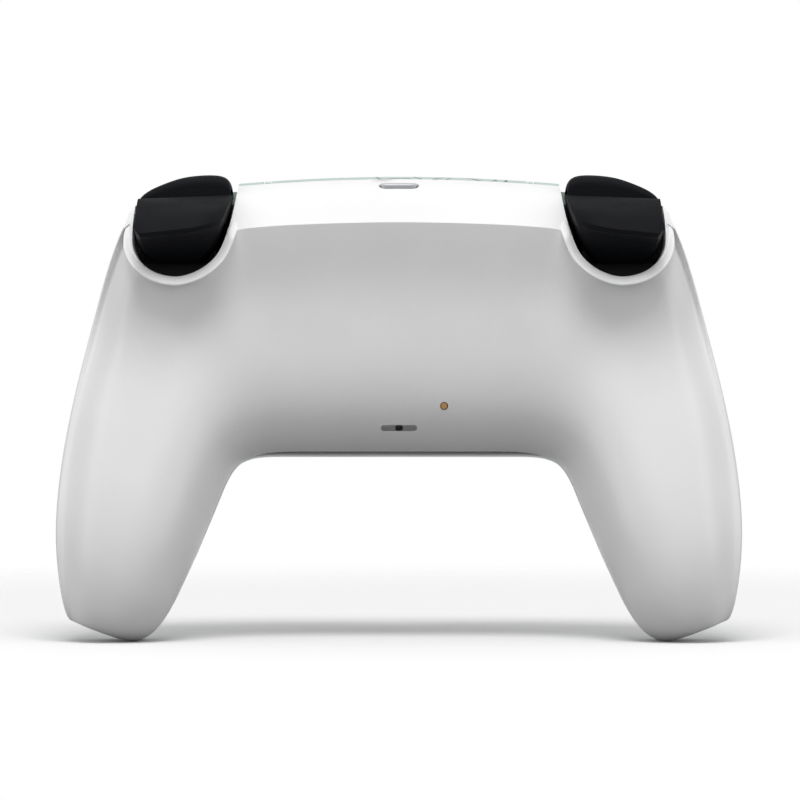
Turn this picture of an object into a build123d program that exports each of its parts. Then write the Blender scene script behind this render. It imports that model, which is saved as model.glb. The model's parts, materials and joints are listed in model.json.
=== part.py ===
from build123d import *
from math import cos, hypot, radians, sin
import os

os.makedirs("parts", exist_ok=True)

# Overall size of the casing, in millimetres
half_width = 80.1
height = 110.0
half_depth = 32.5
wall = 2.2

# Each rib is a cut across the casing from its lower or inner edge to its upper or outer edge.
# The four numbers are shares of half_width and height.
rib_shares = [
    (0.000, 0.3880, 0.000, 1.027),
    (0.110, 0.3880, 0.120, 1.027),
    (0.212, 0.3880, 0.230, 1.027),
    (0.300, 0.3880, 0.335, 1.024),
    (0.372, 0.3880, 0.435, 1.017),
    (0.418, 0.3860, 0.525, 1.002),
    (0.452, 0.3800, 0.610, 0.979),
    (0.487, 0.3620, 0.749, 0.941),
    (0.512, 0.3330, 0.834, 0.8455),
    (0.537, 0.2890, 0.894, 0.709),
    (0.569, 0.2300, 0.949, 0.5455),
    (0.604, 0.1660, 0.991, 0.364),
    (0.642, 0.1040, 1.000, 0.218),
    (0.684, 0.0472, 0.986, 0.114),
    (0.737, 0.0082, 0.969, 0.060),
    (0.811, 0.0052, 0.948, 0.046),
]
tip_shares = [1, 1, 1, 1, 1, 1, 1, 1, 1, 1, 1, 1, 0.97, 0.86, 0.68, 0.40]
outer_round_shares = [0.18, 0.18, 0.18, 0.20, 0.26, 0.36, 0.50, 0.82, 0.94, 1, 1, 1, 1, 1, 1, 1]
edge_round = 17.0
round_limit_share = 0.48
round_angles = (30, 60, 90)
front_square_share = 0.6
seam_share = 0.01

# How deep the casing is behind and in front of its middle plane
centre_back = 17.5
back_bow = 2.0
bow_middle = 85.0
bow_reach = 41.0
centre_front = 16.5
grip_blend_start = 26.0
grip_blend = 30.0
grip_back_top = 19.0
grip_back_more = 14.0
grip_back_start = 88.0
grip_back_blend = 74.0
grip_front_top = 16.0
grip_front_drop = 22.0
grip_front_start = 78.0
grip_front_blend = 73.0
collar_rise = 5.5
collar_x = 53.5
collar_z = 92.0
collar_inner = 7.5
collar_blend = 13.0


def ease(share):
    """Step smoothly from 0 to 1."""
    held = min(1, max(0, share))
    return held * held * (3 - 2 * held)


def back_depth(x, z, rise):
    """Distance from the middle plane to the back surface, with the collar round a trigger."""
    grip = ease((abs(x) - grip_blend_start) / grip_blend)
    centre = centre_back - back_bow * ((z - bow_middle) / bow_reach) ** 2
    handle = grip_back_top + grip_back_more * ease((grip_back_start - z) / grip_back_blend)
    away = hypot(abs(x) - collar_x, z - collar_z)
    collar = rise * (1 - ease((away - collar_inner) / collar_blend))
    return (1 - grip) * centre + grip * handle + collar


def front_depth(x, z):
    """Distance from the middle plane to the front surface."""
    grip = ease((abs(x) - grip_blend_start) / grip_blend)
    handle = grip_front_top - grip_front_drop * ease((grip_front_start - z) / grip_front_blend)
    return (1 - grip) * centre_front + grip * handle


def rib_outline(number, side, inset, rise):
    """Plane of one rib, and its back and front points in that plane."""
    inner_x, inner_z, outer_x, outer_z = rib_shares[number]
    start = Vector(side * inner_x * half_width, 0, inner_z * height)
    end = Vector(side * outer_x * half_width, 0, outer_z * height)
    length = (end - start).length
    along = (end - start) / length
    inner_round = min(edge_round, round_limit_share * length)
    outer_round = min(edge_round * outer_round_shares[number], round_limit_share * length)
    middle = inner_round + (length - inner_round - outer_round) / 2
    turns = [radians(angle) for angle in round_angles]
    places = [0] + [inner_round * (1 - cos(turn)) for turn in turns] + [middle]
    places += [length - outer_round * (1 - cos(turn)) for turn in reversed(turns)] + [length]
    heights = [0] + [sin(turn) for turn in turns] + [1]
    heights += [sin(turn) for turn in reversed(turns)] + [0]
    back_points = []
    front_points = []
    for place, share in zip(places, heights):
        point = start + along * place
        back = back_depth(point.X, point.Z, rise)
        front = front_depth(point.X, point.Z)
        middle_y = (front - back) / 2
        half = (front + back) / 2 * tip_shares[number] - inset
        across = inset + (length - 2 * inset) * place / length
        back_points.append((across, middle_y - half * share))
        front_points.append((across, middle_y + half * share**front_square_share))
    plane = Plane(origin=start, x_dir=along, z_dir=along.cross(Vector(0, 1, 0)))
    return plane, back_points, front_points


def take_away(whole, tools):
    """What is left of a solid when the tools are cut from it."""
    with BuildPart() as rest:
        add(whole)
        add(list(tools), mode=Mode.SUBTRACT)
    return rest.part


def common(whole, tool):
    """What a solid and a tool share."""
    with BuildPart() as shared:
        add(whole)
        add(tool, mode=Mode.INTERSECT)
    return shared.part


def front_plane(y):
    """Upright plane at depth y, from which a solid grows towards the back."""
    return Plane.XZ.offset(-y)


def mirrored(piece):
    """The same piece on the other side of the middle plane."""
    with BuildPart() as other:
        mirror(piece, about=Plane.YZ)
    return other.part


def save(piece, name):
    """Label a finished piece and write its file."""
    piece.label = name
    export_step(piece, "parts/" + name + ".step")


def save_pair(piece, name):
    """Write a piece of the player's left side and its mirror image."""
    save(piece, name + "_left")
    save(mirrored(piece), name + "_right")


def casing_body(inset, rise, last_rib):
    """Solid of the whole casing, set in from its outer surface by inset."""
    order = [(-1, number) for number in range(last_rib, 0, -1)]
    order += [(1, number) for number in range(last_rib + 1)]
    with BuildPart() as body:
        for side, number in order:
            plane, back_points, front_points = rib_outline(number, side, inset, rise)
            with BuildSketch(plane):
                with BuildLine():
                    Spline(*back_points, tangents=[(seam_share, -1), (seam_share, 1)])
                    Spline(*reversed(front_points), tangents=[(-seam_share, 1), (-seam_share, -1)])
                make_face()
        loft()
    return body.part


# The crown is the rounded top edge, and it falls away towards both ends on one long arc
crown_radius = 437.0
crown_top = 108.6
crown_shares = [
    (-0.530, 0.9073),
    (-0.364, 0.9473),
    (-0.197, 0.9745),
    (-0.030, 0.9909),
    (0.121, 0.9982),
    (0.258, 0.9890),
    (0.380, 0.9640),
    (0.465, 0.9200),
    (0.515, 0.8600),
]
crown_back_share = -1.8
crown_back_height_share = 0.57
crown_front_share = 1.8
crown_foot_share = -0.4


def crown_body(inset):
    """Everything under the crown, set in from it by inset."""
    narrow = 1 - inset / centre_back
    points = [(y * half_depth * narrow, z * height - inset) for y, z in crown_shares]
    back = (crown_back_share * half_depth, crown_back_height_share * height - inset)
    back_foot = (back[0], crown_foot_share * height)
    front = (crown_front_share * half_depth, points[-1][1] - inset)
    front_foot = (front[0], crown_foot_share * height)
    axis = Axis((0, 0, crown_top - crown_radius), (0, 1, 0))
    with BuildPart() as crown:
        with BuildSketch(Plane.YZ):
            with BuildLine():
                Line(back, points[0])
                Spline(*points)
                Polyline(points[-1], front, front_foot, back_foot, back)
            make_face()
        revolve(axis=axis)
    return crown.part


# Joint between the rear and front shells, seen from the side, as shares of half_depth and height
parting_shares = [
    (-0.030, 1.150),
    (-0.030, 0.910),
    (-0.045, 0.730),
    (-0.100, 0.550),
    (-0.210, 0.360),
    (-0.360, 0.180),
    (-0.500, 0.045),
    (-0.600, -0.050),
]
beyond = 2 * half_width

# Trigger pocket seen from behind, as shares of half_width and height
pocket_shares = [
    (0.4800, 1.1000),
    (0.4835, 0.9300),
    (0.4960, 0.8810),
    (0.5120, 0.8430),
    (0.5380, 0.8110),
    (0.5840, 0.7850),
    (0.6430, 0.7720),
    (0.7050, 0.7795),
    (0.7500, 0.8020),
    (0.7740, 0.8320),
    (0.7800, 0.8650),
    (0.7790, 0.9300),
    (0.7740, 1.1000),
]
pocket_front = 9.4
rim_rise = 0.9
rim_width = 2.0
rim_front = -4.0

# Fits and running clearances
slack = 0.3
fit = 0.05
trigger_gap = 0.6

# Black centre panel of the front shell, as shares of half_width and height
trim_shares = [
    (0.345, 0.751),
    (0.385, 0.700),
    (0.455, 0.640),
    (0.497, 0.560),
    (0.485, 0.470),
    (0.450, 0.400),
    (0.420, 0.340),
]
trim_foot_share = 0.30
trim_joint = 0.1

# Touch pad and its light bars
pad_top_half = 30.8
pad_low_half = 26.0
pad_low_z = 84.0
pad_corner = 3.0
pad_gap = 0.3
light_bar_width = 1.3
player_light_width = 16.0
player_light_height = 0.9
player_light_z = 80.6
pad_board_thickness = 1.2
pad_board_top_z = 92.0

# Thumb sticks
stick_x = 22.5
stick_z = 63.0
stick_pivot_y = 7.4
stick_opening = 12.3
dome_radius = 12.8
dome_wall = 1.2
dome_angle = 80
cap_radius = 10.0
cap_rim = 1.4
cap_dish = 1.1
cap_thickness = 3.4
neck_radius = 3.4
neck_flare = 6.5
base_half = 7.2
base_wall = 1.4
base_front_over_pivot = 2.2
sensor_thickness = 2.2
sensor_length = 8.4
yoke_half_x = 5.5
yoke_half_z = 4.9
yoke_bar = 1.5
yoke_thickness = 2.4
yoke_pin = 1.1
lever_hub = 1.9
lever_pin = 0.9
lever_shaft = 1.5
lever_tip_y = 18.0
lever_tail = 2.6
click_travel = 0.5

# Buttons of the front face
cluster_x = 49.0
cluster_z = 82.0
face_button_radius = 5.1
face_button_spread = 9.2
face_button_top_y = 18.3
face_button_dome = 0.5
flange_rim = 0.8
flange_thickness = 1.2
button_travel = 1.2
button_gap = 0.3
dpad_arm_width = 7.2
dpad_arm_length = 8.6
dpad_arm_middle = 9.4
dpad_corner = 1.6
dpad_top_y = 18.2
dpad_plate_radius = 11.8
dpad_plate_thickness = 1.6
dpad_gap = 0.9
dpad_edge = 0.5
dpad_pivot_radius = 2.5
dpad_pivot_thickness = 1.0
carrier_front_y = 9.2
cluster_inner_y = 12.2
carrier_thickness = 1.2
carrier_radius = 16.8
carrier_rim = 1.4
membrane_thickness = 1.0
membrane_margin = 1.8
menu_x = 34.6
menu_z = 97.6
menu_width = 3.0
menu_length = 6.4
menu_tilt = 12
menu_top_y = 17.6
menu_foot_y = 9.8
home_z = 68.0
home_width = 9.0
home_height = 6.0
home_top_y = 17.2
home_foot_y = 12.3
mute_z = 59.6
mute_width = 7.0
mute_height = 2.6
mute_top_y = 16.6
mute_foot_y = 12.6
speaker_z = 75.2
speaker_hole = 0.45
speaker_pitch = 1.9
speaker_columns = 5
speaker_rows = 2
front_mic_z = 53.6
front_mic_hole = 0.6

# Boards and frames inside
frame_half_width = 39.9
frame_low_z = 47.5
frame_top_z = 99.0
frame_back_y = -2.0
frame_thickness = 1.5
board_margin = 0.9
board_front_y = 1.4
board_thickness = 1.6
screw_radius = 1.0
screw_head_radius = 2.2
screw_head = 1.4
boss_radius = 2.6
boss_depth = 7.8
screw_places = [(34.0, 50.5), (31.2, 85.0), (13.8, 49.8)]
battery_half_width = 24.0
battery_low_z = 60.5
battery_top_z = 94.0
battery_thickness = 9.0
battery_round = 1.5
speaker_radius = 6.4
speaker_height = 7.6

# Ports and small holes seen from behind or below
usb_y = -6.5
usb_width = 8.9
usb_depth = 3.1
usb_wall = 0.4
usb_length = 8.0
usb_top_z = 107.2
usb_opening = 0.35
usb_tongue = 0.7
jack_y = 5.0
jack_bore = 1.8
jack_body = 3.3
jack_nose = 2.9
jack_length = 12.5
jack_nose_length = 3.2
jack_low_z = 43.2
slot_z = 49.7
slot_width = 8.5
slot_height = 1.4
slot_depth = 0.9
mic_hole = 0.9
mic_body_width = 9.0
mic_body_height = 4.0
mic_front_y = -2.0
reset_x = 10.6
reset_z = 54.9
reset_hole = 0.95
reset_pin = 0.75
reset_pin_back_y = -13.2
reset_switch_back_y = -5.2
reset_switch_half = 2.6
reset_travel = 0.3
guide_radius = 2.2
guide_front_y = -8.0
contact_x = 9.5
contact_width = 5.0
contact_depth = 2.2

# Haptic actuators in the grips
haptic_x = 62.5
haptic_y = -15.5
haptic_z = 33.0
haptic_half_width = 9.5
haptic_half_depth = 7.0
haptic_half_height = 12.0
haptic_wall = 1.0
haptic_travel = 1.0
haptic_rib_thickness = 1.5
haptic_rib_spacing = 14.0

# Triggers, bumpers and the brackets that carry them
pivot_y = -4.0
pivot_z = 102.0
axle_radius = 1.25
hub_radius = 3.2
cheek_inner_x = 40.2
cheek_outer_x = 54.4
cheek_thickness = 1.2
cheek_back_y = -8.0
cheek_low_z = 84.5
cheek_gap = 0.3
ear_width = 2.0
plate_back_y = 5.0
plate_top_z = 100.0
floor_thickness = 1.5
bumper_pin_y = 5.4
bumper_pin_z = 103.8
bumper_pin = 1.0
bumper_ear = 1.6
bumper_tab = 1.4
spring_wire = 0.6
spring_radius = 1.85
spring_turns = 7
motor_radius = 3.2
motor_y = 1.3
motor_z = 91.0
motor_length = 6.2
motor_x = 51.0
cam_y = -3.8
cam_z = 90.2
cam_hub = 2.0
cam_nose = 3.4
cam_pin = 1.0
cam_width = 3.0
cam_x = 45.0
trigger_wall = 1.8
trigger_turn = 12
apron_outer_x = 62.4
apron_top_z = 88.6

# Trigger seen from the side, measured back and up from its axle
trigger_back = 27.0
trigger_lip_drop = 6.0
trigger_front = 5.3
trigger_skirt_drop = 13.7
trigger_face_shares = [(-0.444, 0.270), (-0.741, -0.200), (-0.948, -0.767)]
trigger_tip_shares = [(-1.000, -1.067), (-0.978, -1.233)]
trigger_under_shares = [(-0.796, -1.400), (-0.593, -1.800)]
trigger_skirt_share = 0.37
trigger_ear_rise = 0.7
trigger_ear_back = 12.5

# Trigger across its width: share of the way outwards, share of its reach, lift of its lip as a
# share of the lip drop, and the height of its top as a share of height
trigger_station_shares = [
    (0.00, 0.45, 0.70, 0.9530),
    (0.10, 0.68, 0.52, 0.9520),
    (0.22, 0.89, 0.26, 0.9505),
    (0.42, 1.00, 0.06, 0.9480),
    (0.68, 1.00, -0.06, 0.9410),
    (0.88, 0.98, -0.14, 0.9290),
    (1.00, 0.93, -0.18, 0.9150),
]
trigger_outer_x = 61.2

# Bumper seen from behind: a place across as a share of half_width, then its lower and upper
# edges there as shares of height. The arch is its section, from back to front and low to high.
bumper_shares = [
    (0.4975, 0.9510, 0.9640),
    (0.5010, 0.9510, 0.9800),
    (0.5100, 0.9505, 0.9900),
    (0.5250, 0.9505, 0.9955),
    (0.5500, 0.9500, 0.9980),
    (0.6000, 0.9490, 0.9968),
    (0.6450, 0.9475, 0.9918),
    (0.6900, 0.9440, 0.9812),
    (0.7250, 0.9395, 0.9700),
    (0.7520, 0.9330, 0.9575),
    (0.7650, 0.9280, 0.9475),
    (0.7700, 0.9260, 0.9400),
]
bumper_arch_shares = [
    (0.000, 0.50),
    (0.030, 0.78),
    (0.160, 0.95),
    (0.480, 1.00),
    (0.800, 0.90),
    (0.970, 0.62),
]
bumper_end_inset = 0.9
bumper_ceiling_z = 106.3
bumper_ceiling_x = 56.2
bumper_end_x = 60.2
bumper_end_z = 102.9
bumper_back_y = -8.6
bumper_front_y = 9.0
bumper_wall = 1.2
bumper_skirt_z = 103.6
bumper_skirt = 1.3



def side_body(shares):
    """Everything behind the joint between the two shells."""
    points = [(y * half_depth, z * height) for y, z in shares]
    with BuildPart() as body:
        with BuildSketch(Plane.YZ):
            with BuildLine():
                Spline(*points)
                low = (-beyond, points[-1][1])
                high = (-beyond, points[0][1])
                Polyline(points[-1], low, high, points[0])
            make_face()
        extrude(amount=beyond, both=True)
    return body.part


def pocket_body(gap, front_y):
    """Prism of the left trigger pocket, smaller all round by gap."""
    middle = Vector(collar_x, height)
    points = []
    for x, z in pocket_shares:
        point = Vector(x * half_width, z * height)
        points.append(point + (middle - point).normalized() * gap)
    with BuildPart() as body:
        with BuildSketch(front_plane(front_y)):
            with BuildLine():
                Spline(*points)
                Line(points[-1], points[0])
            make_face()
        extrude(amount=beyond)
    return body.part


def pad_body(side_extra, low_extra, back_y):
    """Prism of the touch pad, wider at its sides and foot by the extras."""
    low = pad_low_z - low_extra
    top = height + half_depth
    lean = (pad_top_half - pad_low_half) / (height - pad_low_z)
    top_half = pad_top_half + side_extra + lean * (top - height)
    low_half = pad_low_half + side_extra - lean * low_extra
    with BuildPart() as body:
        with BuildSketch(front_plane(half_depth)) as outline:
            with BuildLine():
                Polyline((-low_half, low), (low_half, low), (top_half, top), (-top_half, top), close=True)
            make_face()
            fillet(outline.vertices().group_by(Axis.Z)[0], pad_corner)
        extrude(amount=half_depth - back_y)
    return body.part


def trim_body(gap):
    """Prism of the black centre panel, smaller at its sides and top by gap."""
    right = [(x * half_width - gap, z * height - gap) for x, z in trim_shares]
    left = [(-x, z) for x, z in right]
    foot = trim_foot_share * height
    with BuildPart() as body:
        with BuildSketch(front_plane(half_depth)):
            with BuildLine():
                Spline(*right)
                Polyline(right[-1], (right[-1][0], foot), (left[-1][0], foot), left[-1])
                Spline(*left)
                Line(left[0], right[0])
            make_face()
        extrude(amount=beyond)
    return body.part


def upright_box(x0, x1, y0, y1, z0, z1):
    """Box between two corners."""
    with BuildPart() as body:
        with BuildSketch(Plane.XY.offset(z0)):
            with Locations(((x0 + x1) / 2, (y0 + y1) / 2)):
                Rectangle(x1 - x0, y1 - y0)
        extrude(amount=z1 - z0)
    return body.part


def rod(x, z, radius, y0, y1):
    """Cylinder along Y between two depths."""
    with BuildPart() as body:
        with BuildSketch(front_plane(y1)):
            with Locations((x, z)):
                Circle(radius)
        extrude(amount=y1 - y0)
    return body.part


def pill(x, z, width, tall, y0, y1, turn=0):
    """Rounded bar along Y between two depths."""
    with BuildPart() as body:
        with BuildSketch(front_plane(y1)):
            with Locations((x, z)):
                SlotOverall(max(width, tall), min(width, tall), rotation=turn)
        extrude(amount=y1 - y0)
    return body.part


def axle(x0, x1, y, z, radius):
    """Cylinder along X."""
    with BuildPart() as body:
        with BuildSketch(Plane.YZ.offset(x0)):
            with Locations((y, z)):
                Circle(radius)
        extrude(amount=x1 - x0)
    return body.part


# Raised rim round the left trigger pocket
with BuildPart() as pocket_rim:
    add(casing_body(-rim_rise, collar_rise, len(rib_shares) - 1))
    add(crown_body(0), mode=Mode.INTERSECT)
    add(pocket_body(-rim_width, rim_front), mode=Mode.INTERSECT)

with BuildPart() as outer_form:
    add(casing_body(0, collar_rise, len(rib_shares) - 1))
    add(crown_body(0), mode=Mode.INTERSECT)
    add([pocket_rim.part, mirrored(pocket_rim.part)])

with BuildPart() as cavity:
    add(casing_body(wall, 0, len(rib_shares) - 2))
    add(crown_body(wall), mode=Mode.INTERSECT)

rear_side = side_body(parting_shares)
pocket_left = pocket_body(0, pocket_front)
pocket_right = mirrored(pocket_left)

# Solid ribs and posts that the hollow leaves standing inside the casing
with BuildPart() as inside_posts:
    for side in (-1, 1):
        for step in (-0.5, 0.5):
            x = side * (haptic_x + step * haptic_rib_spacing)
            half = haptic_rib_thickness / 2
            rib_front = haptic_y - haptic_half_depth - slack
            low = haptic_z - haptic_half_height
            high = haptic_z + haptic_half_height
            add(upright_box(x - half, x + half, -beyond, rib_front, low, high))
        for x, z in screw_places:
            add(rod(side * x, z, boss_radius, board_front_y, half_depth))
    add(rod(reset_x, reset_z, guide_radius, -half_depth, guide_front_y))

hollow = take_away(cavity.part, [inside_posts.part])
wall_form = take_away(outer_form.part, [hollow])
casing = take_away(wall_form, [pocket_left, pocket_right])


def usb_slot(extra, low, high):
    """Rounded bar of the charging port, wider all round by extra."""
    with BuildPart() as body:
        with BuildSketch(Plane.XY.offset(low)):
            with Locations((0, usb_y)):
                SlotOverall(usb_width + 2 * extra, usb_depth + 2 * extra)
        extrude(amount=high - low)
    return body.part


def jack_barrel(radius, low, high):
    """Cylinder on the axis of the headphone jack."""
    with BuildPart() as body:
        with BuildSketch(Plane.XY.offset(low)):
            with Locations((0, jack_y)):
                Circle(radius)
        extrude(amount=high - low)
    return body.part


def contact_bar(side):
    """Block of one charging contact."""
    x = side * contact_x
    half = contact_width / 2
    y0 = jack_y - contact_depth / 2
    return upright_box(x - half, x + half, y0, y0 + contact_depth, jack_low_z - wall, jack_low_z + wall)


def dpad_arms(extra, y0, y1):
    """Four arms of the direction pad between two depths, wider all round by extra."""
    with BuildPart() as body:
        with BuildSketch(front_plane(y1)):
            for x, z in ((1, 0), (0, 1), (-1, 0), (0, -1)):
                across = dpad_arm_length if x else dpad_arm_width
                tall = dpad_arm_width if x else dpad_arm_length
                with Locations((cluster_x + x * dpad_arm_middle, cluster_z + z * dpad_arm_middle)):
                    RectangleRounded(across + 2 * extra, tall + 2 * extra, dpad_corner + extra)
        extrude(amount=y1 - y0)
    return body.part


def face_places():
    """Centres of the four face buttons of the player's right side."""
    spread = face_button_spread
    return [(x * spread - cluster_x, cluster_z + z * spread) for x, z in ((1, 0), (0, 1), (-1, 0), (0, -1))]


# White rear shell, with the port, the microphone slot and the reset hole
rear_half = common(casing, rear_side)
rear_holes = [
    usb_slot(usb_opening, usb_top_z - usb_length, height + wall),
    pill(0, slot_z, slot_width, slot_height, -half_depth, mic_front_y),
    rod(reset_x, reset_z, reset_hole, -half_depth, frame_back_y),
]
rear_shell = take_away(rear_half, rear_holes)
save(rear_shell, "rear_shell")

# Front shell with its windows, and the black panel set into it
pad_hole = pad_body(2 * pad_gap + light_bar_width, pad_gap, -half_depth)
boss_bores = []
for side in (-1, 1):
    for x, z in screw_places:
        boss_bores.append(rod(side * x, z, screw_radius + fit, 0, board_front_y + boss_depth))
front_half = take_away(casing, [rear_side, pad_hole] + boss_bores)

windows = [trim_body(0), dpad_arms(dpad_gap, 0, half_depth)]
for x, z in face_places():
    windows.append(rod(x, z, face_button_radius + button_gap, 0, half_depth))
for side in (-1, 1):
    wide = menu_width + 2 * button_gap
    tall = menu_length + 2 * button_gap
    windows.append(pill(side * menu_x, menu_z, wide, tall, 0, half_depth, 90 + side * menu_tilt))
front_shell = take_away(front_half, windows)
save(front_shell, "front_shell")

light_half = player_light_width / 2
light_low = player_light_z - player_light_height / 2
light_high = light_low + player_light_height
light_back = board_front_y + boss_depth
light_block = upright_box(-light_half, light_half, light_back, half_depth, light_low, light_high)
with BuildPart() as sound_holes:
    with BuildSketch(front_plane(half_depth)):
        with Locations((0, speaker_z)):
            with GridLocations(speaker_pitch, speaker_pitch, speaker_columns, speaker_rows):
                Circle(speaker_hole)
        with Locations((0, front_mic_z)):
            Circle(front_mic_hole)
    extrude(amount=half_depth - speaker_height)
trim_holes = [light_block, sound_holes.part, jack_barrel(jack_nose + fit, 0, jack_low_z + jack_nose_length)]
home_wide = home_width + 2 * button_gap
home_tall = home_height + 2 * button_gap
trim_holes.append(pill(0, home_z, home_wide, home_tall, 0, half_depth))
mute_wide = mute_width + 2 * button_gap
mute_tall = mute_height + 2 * button_gap
trim_holes.append(pill(0, mute_z, mute_wide, mute_tall, 0, half_depth))
for side in (-1, 1):
    trim_holes.append(rod(side * stick_x, stick_z, stick_opening, 0, half_depth))
    trim_holes.append(contact_bar(side))
centre_trim = take_away(common(front_half, trim_body(trim_joint)), trim_holes)
save(centre_trim, "centre_trim")

# Small pieces flush with the outer surface
save(common(wall_form, light_block), "player_light")
with BuildPart() as charge_contacts:
    for side in (-1, 1):
        add(common(wall_form, contact_bar(side)))
save(charge_contacts.part, "charge_contacts")

# Touch pad, its board and the light bars at its sides
pad_back_y = parting_shares[0][0] * half_depth + pad_gap
touchpad = common(wall_form, pad_body(0, 0, pad_back_y))
save(touchpad, "touchpad")
bar_block = take_away(pad_body(pad_gap + light_bar_width, 0, pad_gap), [pad_body(pad_gap, pad_gap, -pad_gap)])
bars = common(wall_form, bar_block).solids().sort_by(Axis.X)
save(bars[-1], "light_bar_left")
save(bars[0], "light_bar_right")

with BuildPart() as touchpad_board:
    with BuildSketch(front_plane(centre_front - wall - slack)):
        board_low = pad_low_z + pad_corner
        with Locations((0, (board_low + pad_board_top_z) / 2)):
            RectangleRounded(2 * (pad_low_half - pad_corner), pad_board_top_z - board_low, pad_corner / 2)
    extrude(amount=pad_board_thickness)
save(touchpad_board.part, "touchpad_board")

# Main board, inner frame, battery and screws
with BuildPart() as mid_frame:
    with BuildSketch(front_plane(frame_back_y + frame_thickness)):
        with Locations((0, (frame_low_z + frame_top_z) / 2)):
            RectangleRounded(2 * frame_half_width, frame_top_z - frame_low_z, pad_corner)
        for side in (-1, 1):
            with Locations(*[(side * x, z) for x, z in screw_places]):
                Circle(screw_radius + fit, mode=Mode.SUBTRACT)
    extrude(amount=frame_thickness)
save(mid_frame.part, "mid_frame")

with BuildPart() as main_board:
    with BuildSketch(front_plane(board_front_y)):
        with Locations((0, (frame_low_z + frame_top_z) / 2)):
            across = 2 * (frame_half_width - board_margin)
            RectangleRounded(across, frame_top_z - frame_low_z - 2 * board_margin, pad_corner)
        for side in (-1, 1):
            with Locations(*[(side * x, z) for x, z in screw_places]):
                Circle(screw_radius + fit, mode=Mode.SUBTRACT)
    extrude(amount=board_thickness)
save(main_board.part, "main_board")

with BuildPart() as frame_screws:
    for side in (-1, 1):
        for x, z in screw_places:
            add(rod(side * x, z, screw_radius, frame_back_y, board_front_y + boss_depth - slack))
            add(rod(side * x, z, screw_head_radius, frame_back_y - screw_head, frame_back_y))
save(frame_screws.part, "frame_screws")

battery_front = frame_back_y - slack
with BuildPart() as battery:
    battery_back = battery_front - battery_thickness
    half = battery_half_width
    add(upright_box(-half, half, battery_back, battery_front, battery_low_z, battery_top_z))
    fillet(battery.edges().filter_by(Axis.Z), battery_round)
save(battery.part, "battery")

with BuildPart() as speaker:
    add(rod(0, speaker_z, speaker_radius, board_front_y, board_front_y + speaker_height))
    chamfer(speaker.faces().sort_by(Axis.Y)[-1].edges(), flange_rim)
save(speaker.part, "speaker")

# Charging port, headphone jack and rear microphone
usb_low = usb_top_z - usb_length
with BuildPart() as usb_port:
    add(usb_slot(0, usb_low, usb_top_z))
    add(usb_slot(-usb_wall, usb_low + usb_tongue, usb_top_z), mode=Mode.SUBTRACT)
    tongue_half = usb_width / 2 - usb_depth / 2
    tongue_back = usb_y - usb_tongue / 2
    tongue_top = usb_top_z - usb_tongue
    add(upright_box(-tongue_half, tongue_half, tongue_back, tongue_back + usb_tongue, usb_low, tongue_top))
    seat_back = usb_y + usb_depth / 2
    seat_high = frame_top_z
    half = usb_width / 2
    seat_low = usb_low - usb_depth
    add(upright_box(-half, half, seat_back - usb_wall, frame_back_y, seat_low, seat_high))
    add(upright_box(-half, half, usb_y, seat_back, seat_low, usb_low + usb_wall))
save(usb_port.part, "usb_port")

jack_top = jack_low_z + jack_nose_length + jack_length
with BuildPart() as headphone_jack:
    body_low = jack_low_z + jack_nose_length + slack
    add(upright_box(-jack_body, jack_body, board_front_y, jack_y + jack_body, body_low, jack_top))
    add(jack_barrel(jack_nose, jack_low_z, body_low))
    add(jack_barrel(jack_bore, 0, jack_top - jack_bore), mode=Mode.SUBTRACT)
save(headphone_jack.part, "headphone_jack")

with BuildPart() as rear_microphone:
    half = mic_body_width / 2
    tall = mic_body_height / 2
    add(upright_box(-half, half, -half_depth, mic_front_y, slot_z - tall, slot_z + tall))
    add(cavity.part, mode=Mode.INTERSECT)
    add(rod(0, slot_z, mic_hole, -half_depth, mic_front_y - slot_depth), mode=Mode.SUBTRACT)
save(rear_microphone.part, "rear_microphone")

# Reset switch and the pin behind its hole
with BuildPart() as reset_switch:
    half = reset_switch_half
    x0 = reset_x - half
    z0 = reset_z - half
    add(upright_box(x0, x0 + 2 * half, reset_switch_back_y, frame_back_y, z0, z0 + 2 * half))
save(reset_switch.part, "reset_switch")
reset_pin_front_y = reset_switch_back_y - reset_travel - fit
with BuildPart() as reset_plunger:
    add(rod(reset_x, reset_z, reset_pin, reset_pin_back_y, reset_pin_front_y))
    add(rod(reset_x, reset_z, 2 * reset_pin, guide_front_y + slack, reset_pin_front_y))
save(reset_plunger.part, "reset_plunger")

# Haptic actuators: a can in each grip, with a mass that slides from side to side
with BuildPart() as haptic_can:
    x0 = haptic_x - haptic_half_width
    x1 = haptic_x + haptic_half_width
    y0 = haptic_y - haptic_half_depth
    y1 = haptic_y + haptic_half_depth
    z0 = haptic_z - haptic_half_height
    z1 = haptic_z + haptic_half_height
    t = haptic_wall
    add(upright_box(x0, x1, y0, y1, z0, z1))
    fillet(haptic_can.edges().filter_by(Axis.Z), 2 * t)
    add(upright_box(x0 + t, x1 - t, y0 + t, y1 - t, z0 + t, z1 - t), mode=Mode.SUBTRACT)
save_pair(haptic_can.part, "haptic_can")
with BuildPart() as haptic_mass:
    clear = haptic_wall + slack
    side_clear = clear + haptic_travel
    add(upright_box(x0 + side_clear, x1 - side_clear, y0 + clear, y1 - clear, z0 + clear, z1 - clear))
    chamfer(haptic_mass.edges().filter_by(Axis.Z), haptic_wall)
save_pair(haptic_mass.part, "haptic_mass")

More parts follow.
